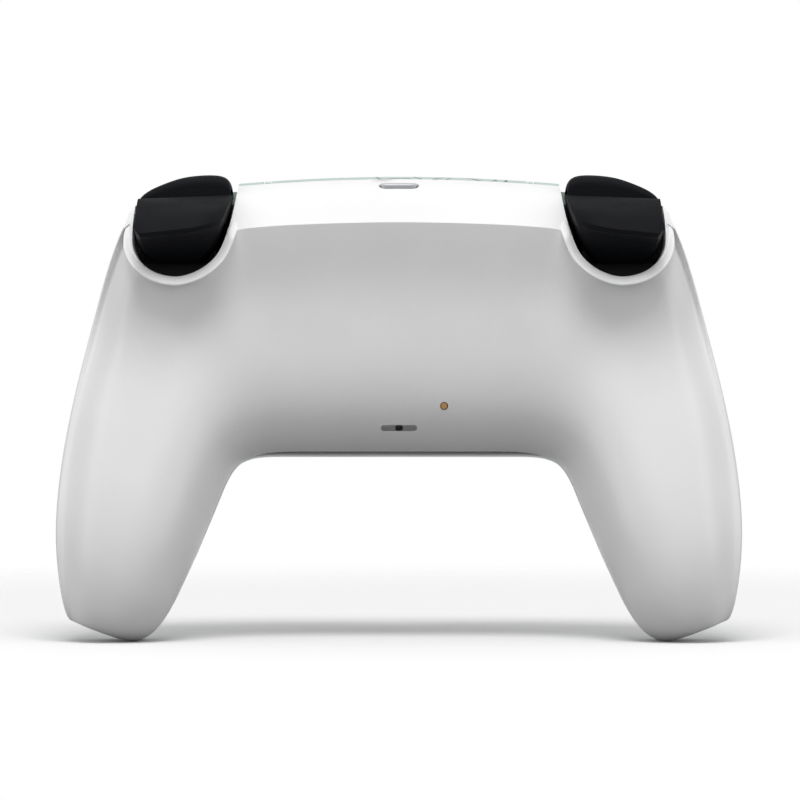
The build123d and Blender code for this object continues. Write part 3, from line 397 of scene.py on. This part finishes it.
def textured_black(control):
    """Black plastic of triggers and bumpers: raised grain and slightly polished tops."""
    f, tone, rough, normal = moulded("satin_black", control.black, 0.0005, 0.56, vary=0.15)
    grains = f.spread(f.cells(2100.0), 1, 0, 0.05, 0.5)
    polished = f.spread(grains, 0.06, -0.05)
    return f.set(
        Base_Color=tone,
        Roughness=f.maths("ADD", rough, polished),
        Normal=f.bump(grains, 0.03 * MM, 0.55, normal),
        Specular_IOR_Level=0.06,
    )


def gloss_black(control):
    """Glossy black panel with hairline scratches."""
    f = Finish("trim_black")
    hair = f.noise(900.0, 5.0, f.stretched((0.06, 1.0, 1.0)))
    rough = f.spread(hair, 0.10, 0.24, 0.35, 0.7)
    tone = f.mix(f.noise(40.0, 2.0), tint(control.gloss, 0.8), tint(control.gloss, 1.3))
    return f.set(
        Base_Color=tone,
        Roughness=rough,
        Coat_Weight=0.2,
        Coat_Roughness=0.06,
        Specular_IOR_Level=0.3,
        Normal=f.bump(hair, 0.002 * MM, 0.3),
    )


def clear_button(control):
    """Pale buttons under a clear layer, slightly cloudy inside."""
    f = Finish("button_grey")
    cloud = f.noise(300.0, 3.0)
    share = f.spread(cloud, 0, 1, 0.3, 0.7)
    tone = f.mix(share, tint(control.button, 0.93), tint(control.button, 1.04))
    return f.set(
        Base_Color=tone,
        Roughness=f.spread(f.noise(700.0, 3.0), 0.22, 0.34),
        Coat_Weight=1.0,
        Coat_Roughness=0.05,
        Normal=f.bump(cloud, 0.004 * MM, 0.3),
    )


def stick_rubber(control):
    """Matt rubber with fine grain and paler worn dust."""
    f = Finish("stick_rubber")
    grain = f.noise(2600.0, 5.0)
    dust = f.spread(f.noise(120.0, 4.0), 0, 0.5, 0.52, 0.75)
    tone = f.mix(dust, tuple(control.rubber), tint(control.rubber, 2.2))
    return f.set(
        Base_Color=tone,
        Roughness=f.spread(grain, 0.62, 0.82, 0.3, 0.7),
        Normal=f.bump(grain, 0.02 * MM, 0.6),
        Specular_IOR_Level=0.3,
    )


def milky_light():
    """Milky light guide, off, with a soft ribbed diffuser."""
    f = Finish("light_clear")
    given = {"Vector": f.place, "Scale": 320.0, "Distortion": 0.3}
    ribs = f.node("ShaderNodeTexWave", given).outputs["Fac"]
    return f.set(
        Base_Color=f.mix(ribs, (0.66, 0.72, 0.76), (0.78, 0.83, 0.86)),
        Roughness=f.spread(f.noise(600.0, 2.0), 0.24, 0.36),
        Normal=f.bump(ribs, 0.015 * MM, 0.4),
        Coat_Weight=0.5,
    )


def brushed(name, base, roughness, along):
    """Metal with brush lines along one axis and faint stains."""
    f = Finish(name)
    scale = tuple(0.03 if axis == along else 1.0 for axis in range(3))
    lines = f.noise(2400.0, 4.0, f.stretched(scale))
    stain = f.noise(90.0, 3.0)
    tone = f.mix(f.spread(stain, 0, 1, 0.3, 0.75), tint(base, 0.86), tint(base, 1.06))
    rough = f.spread(lines, roughness - 0.08, roughness + 0.12, 0.3, 0.7)
    normal = f.bump(lines, 0.004 * MM, 0.4)
    return f.set(Base_Color=tone, Metallic=1.0, Roughness=rough, Normal=normal)


def circuit_board():
    """Green solder mask with copper tracks under it and pale printed dots."""
    f = Finish("board_green")
    track = f.maths("LESS_THAN", f.cells(520.0, "DISTANCE_TO_EDGE"), 0.07)
    dots = f.maths("LESS_THAN", f.cells(700.0), 0.16)
    base = f.mix(track, (0.012, 0.085, 0.045), (0.03, 0.17, 0.08))
    tone = f.mix(f.maths("MULTIPLY", dots, 0.8), base, (0.72, 0.62, 0.35))
    rough = f.spread(f.noise(400.0, 2.0), 0.28, 0.42)
    normal = f.bump(track, 0.02 * MM, 0.5)
    return f.set(Base_Color=tone, Roughness=rough, Normal=normal, Coat_Weight=0.3)


def wrapped_battery():
    """Grey heat-shrunk foil with soft crease lines, and painted shade: darker in the crease
    hollows, paler on the crease ridges.
    """
    f = Finish("battery_grey")
    creases_and_shade = f.noise(70.0, 6.0, f.stretched((1.0, 1.0, 0.35)))
    # painted shade: the tone follows the crease height, darker in the hollows and paler on the
    # ridges
    tone = f.mix(creases_and_shade, (0.055, 0.058, 0.065), (0.12, 0.125, 0.135))
    rough = f.spread(f.noise(500.0, 2.0), 0.30, 0.46)
    return f.set(Base_Color=tone, Roughness=rough, Normal=f.bump(creases_and_shade, 0.3 * MM, 0.5))


def frame_plastic():
    """Black inner plastic with flow marks and sprue pits."""
    f = Finish("frame_black")
    flow = f.noise(110.0, 5.0, f.stretched((0.4, 1.0, 1.0)))
    tone = f.mix(flow, (0.016, 0.016, 0.018), (0.036, 0.036, 0.04))
    rough = f.spread(f.noise(900.0, 3.0), 0.5, 0.68)
    return f.set(Base_Color=tone, Roughness=rough, Normal=f.bump(flow, 0.04 * MM, 0.5))


def make_finishes():
    """All materials, by the record's slot names."""
    shell = bpy.context.scene.gamepad_shell
    control = bpy.context.scene.gamepad_controls
    return {
        "shell_white": white_shell(shell),
        "pad_mint": printed_shell(shell),
        "satin_black": textured_black(control),
        "trim_black": gloss_black(control),
        "button_grey": clear_button(control),
        "stick_rubber": stick_rubber(control),
        "light_clear": milky_light(),
        "steel": brushed("steel", (0.50, 0.51, 0.53), 0.50, 0),
        "brass": brushed("brass", (0.74, 0.40, 0.17), 0.26, 2),
        "board_green": circuit_board(),
        "battery_grey": wrapped_battery(),
        "frame_black": frame_plastic(),
    }


# Operators


class GAMEPAD_OT_finishes(bpy.types.Operator):
    """Give every frame node the finish of its material slot"""

    bl_idname = "gamepad.finishes"
    bl_label = "Finishes"

    def execute(self, context):
        finishes = make_finishes()
        slots = {part["node"]: part["material_slot"] for part in frame["record"]["subparts"]}
        for name, node in frame["nodes"].items():
            node.data.materials.clear()
            node.data.materials.append(finishes[slots[name]])
        return {"FINISHED"}


class GAMEPAD_OT_stick_grips(bpy.types.Operator):
    """Add a toothed grip ring round each thumb cap"""

    bl_idname = "gamepad.stick_grips"
    bl_label = "Stick grips"

    def execute(self, context):
        control = context.scene.gamepad_controls
        teeth, tooth_depth = control.teeth, control.tooth_depth
        steps = teeth * POINTS_PER_TOOTH
        profile = [(radius * MM, depth * MM, share) for radius, depth, share in GRIP_SECTION]
        for side in SIDES:
            low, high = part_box("stick_cap_" + side)
            centre = ((low[0] + high[0]) / 2, high[1], (low[2] + high[2]) / 2)
            ring = lathe("stick_grip_" + side, profile, centre, steps, teeth, tooth_depth)
            ring.data.materials.append(bpy.data.materials["stick_rubber"])
            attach(ring, "stick_cap_" + side)
        return {"FINISHED"}


def pocket_edge():
    """Points (x, z) along the edge of the left trigger pocket and directions away from it.

    A Catmull-Rom curve runs through the listed points: with a, b, c, d four of them in a row and
    t from 0 to 1, point = (2b + (c - a)t + (2a - 5b + 4c - d)t^2 + (3b - a - 3c + d)t^3) / 2.
    """
    share = np.array(POCKET_SHARES)
    knots = np.vstack([2 * share[0] - share[1], share, 2 * share[-1] - share[-2]])
    way = np.linspace(0, len(share) - 1, LIP_ROWS)
    span = np.minimum(way.astype(int), len(share) - 2)
    t = (way - span)[:, None]
    a, b, c, d = (knots[span + step] for step in range(4))
    square = 2 * a - 5 * b + 4 * c - d
    cube = 3 * b - a - 3 * c + d
    point = (2 * b + (c - a) * t + square * t**2 + cube * t**3) / 2 * (HALF_WIDTH, SHELL_HEIGHT)
    along = np.gradient(point, axis=0)
    out = np.stack([along[:, 1], -along[:, 0]], axis=-1)
    return point, out / np.linalg.norm(out, axis=1)[:, None]


def depth_behind(node, points, spread=3):
    """Depths of the node where rays from behind meet it at points (x, z).

    Each is the mean of its own and its neighbours' up to spread rows away.
    """
    back = cad_box[0][1]
    forward = Vector((0, 1, 0))
    found = [node.ray_cast(Vector((x, back, z)), forward)[1].y for x, z in points]
    rows = 2 * spread + 1
    return np.convolve(np.pad(found, spread, mode="edge"), np.full(rows, 1 / rows), mode="valid")


def rounded(wave):
    """Sine or cosine of a circle bent to the power of the lip's section."""
    return np.sign(wave) * np.abs(wave) ** LIP_POWER


def weld(piece):
    """Merge the points that share a place, which closes the poles."""
    work = bmesh.new()
    work.from_mesh(piece.data)
    bmesh.ops.remove_doubles(work, verts=work.verts, dist=0.001 * MM)
    work.to_mesh(piece.data)
    work.free()


class GAMEPAD_OT_collar_lips(bpy.types.Operator):
    """Add the rounded lip of the collar round each trigger pocket"""

    bl_idname = "gamepad.collar_lips"
    bl_label = "Collar lips"

    def execute(self, context):
        shell = context.scene.gamepad_shell
        edge, out = pocket_edge()
        rim = edge + out * (shell.lip_width / 2 - shell.lip_overhang)
        depth = depth_behind(frame["nodes"]["rear_shell"], rim)[:, None]
        turn = np.linspace(2 * pi, 0, LIP_ROUND, endpoint=False)
        along = np.sin(np.linspace(0, pi, LIP_ROWS))[:, None]
        taper = np.sqrt(along.clip(0, LIP_NARROW_SHARE) / LIP_NARROW_SHARE)
        lift = along.clip(0, LIP_FLAT_SHARE) / LIP_FLAT_SHARE
        aside = taper * rounded(np.cos(turn)) * shell.lip_width / 2
        x = rim[:, :1] + out[:, :1] * aside
        z = rim[:, 1:] + out[:, 1:] * aside
        y = depth + (1 - taper * rounded(np.sin(turn))) * shell.lip_deep / 2
        y -= lift * (shell.lip_rise + shell.lip_tilt * aside)
        for side, way in zip(SIDES, (1, -1)):
            points = np.stack([x * way, y, z], axis=-1)[::way]
            lip = surface("collar_lip_" + side, points, close_v=True)
            weld(lip)
            lip.data.materials.append(bpy.data.materials["shell_white"])
            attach(lip, "casing")
        return {"FINISHED"}


class GAMEPAD_OT_port_lip(bpy.types.Operator):
    """Add the rolled lip of the charging port"""

    bl_idname = "gamepad.port_lip"
    bl_label = "Port lip"

    def execute(self, context):
        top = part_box("usb_port")[1][2]
        outline, out = stadium(PORT_WIDTH, PORT_TALL, PORT_POINTS)
        turn = np.linspace(0, 2 * pi, BEAD_ROUND, endpoint=False)
        aside = BEAD * (np.cos(turn) - BEAD_INSET_SHARE)
        x = outline[:, :1] + out[:, :1] * aside
        y = PORT_Y + outline[:, 1:] + out[:, 1:] * aside
        z = np.broadcast_to(top + BEAD * (np.sin(turn) - BEAD_SINK_SHARE), x.shape)
        lip = surface("port_lip", np.stack([x, y, z], axis=-1), close_u=True, close_v=True)
        lip.data.materials.append(bpy.data.materials["steel"])
        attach(lip, "casing")
        return {"FINISHED"}


def area_lamp(name, place, size, power):
    """Soft rectangular lamp at place, turned towards the part."""
    data = bpy.data.lights.new(name, "AREA")
    data.shape = "RECTANGLE"
    data.size, data.size_y = size
    data.energy = power
    lamp = bpy.data.objects.new(name, data)
    lamp.location = place
    lamp.rotation_euler = (Vector(LAMP_AIM) - Vector(place)).to_track_quat("-Z", "Y").to_euler()
    bpy.context.scene.collection.objects.link(lamp)


def light_path(tree, *names):
    """Largest of some outputs of a Light Path node."""
    path = tree.nodes.new("ShaderNodeLightPath")
    found = path.outputs[names[0]]
    for name in names[1:]:
        larger = tree.nodes.new("ShaderNodeMath")
        larger.operation = "MAXIMUM"
        tree.links.new(found, larger.inputs[0])
        tree.links.new(path.outputs[name], larger.inputs[1])
        found = larger.outputs[0]
    return found


def floor_material(stage):
    """Pale floor that fades into the white background away from the object.

    Share of floor = 1 inside the first radius of FLOOR_FADE, easing to 0 at the second. Seen by
    the camera, in gloss or through glass it is pale, so that only the shadow shows. The light
    that it throws back on the object is weaker.
    """
    f = Finish("stage_floor")
    nodes, links = f.tree.nodes, f.tree.links
    near, far = FLOOR_FADE
    radius = f.node("ShaderNodeVectorMath", {0: f.place}, operation="LENGTH").outputs["Value"]
    share = f.node(
        "ShaderNodeMapRange",
        {"Value": radius, "From Min": near, "From Max": far, "To Min": 1.0, "To Max": 0.0},
        interpolation_type="SMOOTHSTEP",
    ).outputs["Result"]
    seen = light_path(f.tree, "Is Camera Ray", "Is Glossy Ray", "Is Transmission Ray")
    grain = f.mix(f.noise(60.0, 3.0), tint(stage.floor, 0.99), tuple(stage.floor))
    tone = f.mix(seen, tuple(stage.floor_bounce), grain)
    f.set(Base_Color=tone, Roughness=0.9, Specular_IOR_Level=0.0)
    clear = nodes.new("ShaderNodeBsdfTransparent")
    blend = nodes.new("ShaderNodeMixShader")
    links.new(share, blend.inputs[0])
    links.new(clear.outputs[0], blend.inputs[1])
    links.new(f.shader.outputs[0], blend.inputs[2])
    links.new(blend.outputs[0], nodes["Material Output"].inputs["Surface"])
    return f.material


def studio_world(stage):
    """Bright dome over a dim ground, and plain white where the camera sees it.

    Strength = ground below the horizon, easing to sky above it. Camera and transmission rays
    see a strength of 1 everywhere, and glossy rays see the larger of the dome and GLOSS_WHITE.
    """
    world = bpy.data.worlds.new("studio")
    world.use_nodes = True
    tree = world.node_tree
    nodes, links = tree.nodes, tree.links
    even = nodes["Background"]
    even.inputs["Color"].default_value = (1, 1, 1, 1)
    direction = nodes.new("ShaderNodeSeparateXYZ")
    links.new(nodes.new("ShaderNodeTexCoord").outputs["Generated"], direction.inputs[0])
    dome = nodes.new("ShaderNodeMapRange")
    dome.interpolation_type = "SMOOTHSTEP"
    links.new(direction.outputs["Z"], dome.inputs["Value"])
    dome.inputs["From Min"].default_value = -HORIZON
    dome.inputs["From Max"].default_value = HORIZON
    dome.inputs["To Min"].default_value = stage.ground
    dome.inputs["To Max"].default_value = stage.sky
    gloss = nodes.new("ShaderNodeMath")
    gloss.operation = "MULTIPLY"
    links.new(light_path(tree, "Is Glossy Ray"), gloss.inputs[0])
    gloss.inputs[1].default_value = GLOSS_WHITE
    seen = light_path(tree, "Is Camera Ray", "Is Transmission Ray")
    found = dome.outputs["Result"]
    for other in (gloss.outputs[0], seen):
        larger = nodes.new("ShaderNodeMath")
        larger.operation = "MAXIMUM"
        links.new(found, larger.inputs[0])
        links.new(other, larger.inputs[1])
        found = larger.outputs[0]
    links.new(found, even.inputs["Strength"])
    bpy.context.scene.world = world


class GAMEPAD_OT_stage(bpy.types.Operator):
    """Add the floor, the lamps, the background and the camera"""

    bl_idname = "gamepad.stage"
    bl_label = "Stage"

    def execute(self, context):
        scene = context.scene
        stage = scene.gamepad_stage
        reach = np.linspace(-FLOOR_REACH, FLOOR_REACH, FLOOR_POINTS)
        x, y = np.meshgrid(reach, reach)
        floor = surface("floor", np.stack([x, y, np.zeros_like(x)], axis=-1))
        floor.data.materials.append(floor_material(stage))
        studio_world(stage)
        area_lamp("lamp_top", TOP_LAMP_PLACE, TOP_LAMP_SIZE, stage.top_power)
        aside, back, up = SIDE_LAMP_PLACE
        area_lamp("lamp_left", (-aside, back, up), SIDE_LAMP_SIZE, stage.side_power)
        area_lamp("lamp_right", (aside, back, up), SIDE_LAMP_SIZE, stage.side_power)
        data = bpy.data.cameras.new("photo_camera")
        data.sensor_fit = "HORIZONTAL"
        data.sensor_width = SENSOR_WIDTH
        pixels = (stage.camera_distance - GRIP_DEPTH) / (stage.photo_scale * MM)
        data.lens = data.sensor_width * pixels / stage.photo_width
        data.clip_start = 0.01
        camera = bpy.data.objects.new("photo_camera", data)
        camera.location = (stage.camera_aside, -stage.camera_distance, stage.camera_height)
        camera.rotation_euler = (pi / 2, 0, 0)
        scene.collection.objects.link(camera)
        scene.camera = camera
        scene.view_settings.view_transform = "Standard"
        return {"FINISHED"}


class GAMEPAD_PT_panel(bpy.types.Panel):
    """Lists the steps and settings"""

    bl_idname = "GAMEPAD_PT_panel"
    bl_label = "Gamepad"
    bl_space_type = "VIEW_3D"
    bl_region_type = "UI"
    bl_category = "Gamepad"

    def draw(self, context):
        scene = context.scene
        for step in STEPS:
            self.layout.operator(step)
        for group in (scene.gamepad_shell, scene.gamepad_controls, scene.gamepad_stage):
            box = self.layout.box()
            for key in group.bl_rna.properties.keys():
                if key not in ("rna_type", "name"):
                    box.prop(group, key)


STEPS = (
    "gamepad.finishes",
    "gamepad.collar_lips",
    "gamepad.stick_grips",
    "gamepad.port_lip",
    "gamepad.stage",
)
CLASSES = (
    ShellSettings,
    ControlSettings,
    StageSettings,
    GAMEPAD_OT_finishes,
    GAMEPAD_OT_collar_lips,
    GAMEPAD_OT_stick_grips,
    GAMEPAD_OT_port_lip,
    GAMEPAD_OT_stage,
    GAMEPAD_PT_panel,
)


def register():
    for cls in CLASSES:
        bpy.utils.register_class(cls)
    bpy.types.Scene.gamepad_shell = PointerProperty(type=ShellSettings)
    bpy.types.Scene.gamepad_controls = PointerProperty(type=ControlSettings)
    bpy.types.Scene.gamepad_stage = PointerProperty(type=StageSettings)


def unregister():
    del bpy.types.Scene.gamepad_stage
    del bpy.types.Scene.gamepad_controls
    del bpy.types.Scene.gamepad_shell
    for cls in reversed(CLASSES):
        bpy.utils.unregister_class(cls)


def main():
    """Register the settings, steps and panel, then dress the frame."""
    register()
    bpy.ops.gamepad.finishes()
    bpy.ops.gamepad.collar_lips()
    bpy.ops.gamepad.stick_grips()
    bpy.ops.gamepad.port_lip()
    bpy.ops.gamepad.stage()


if __name__ == "__main__":
    main()
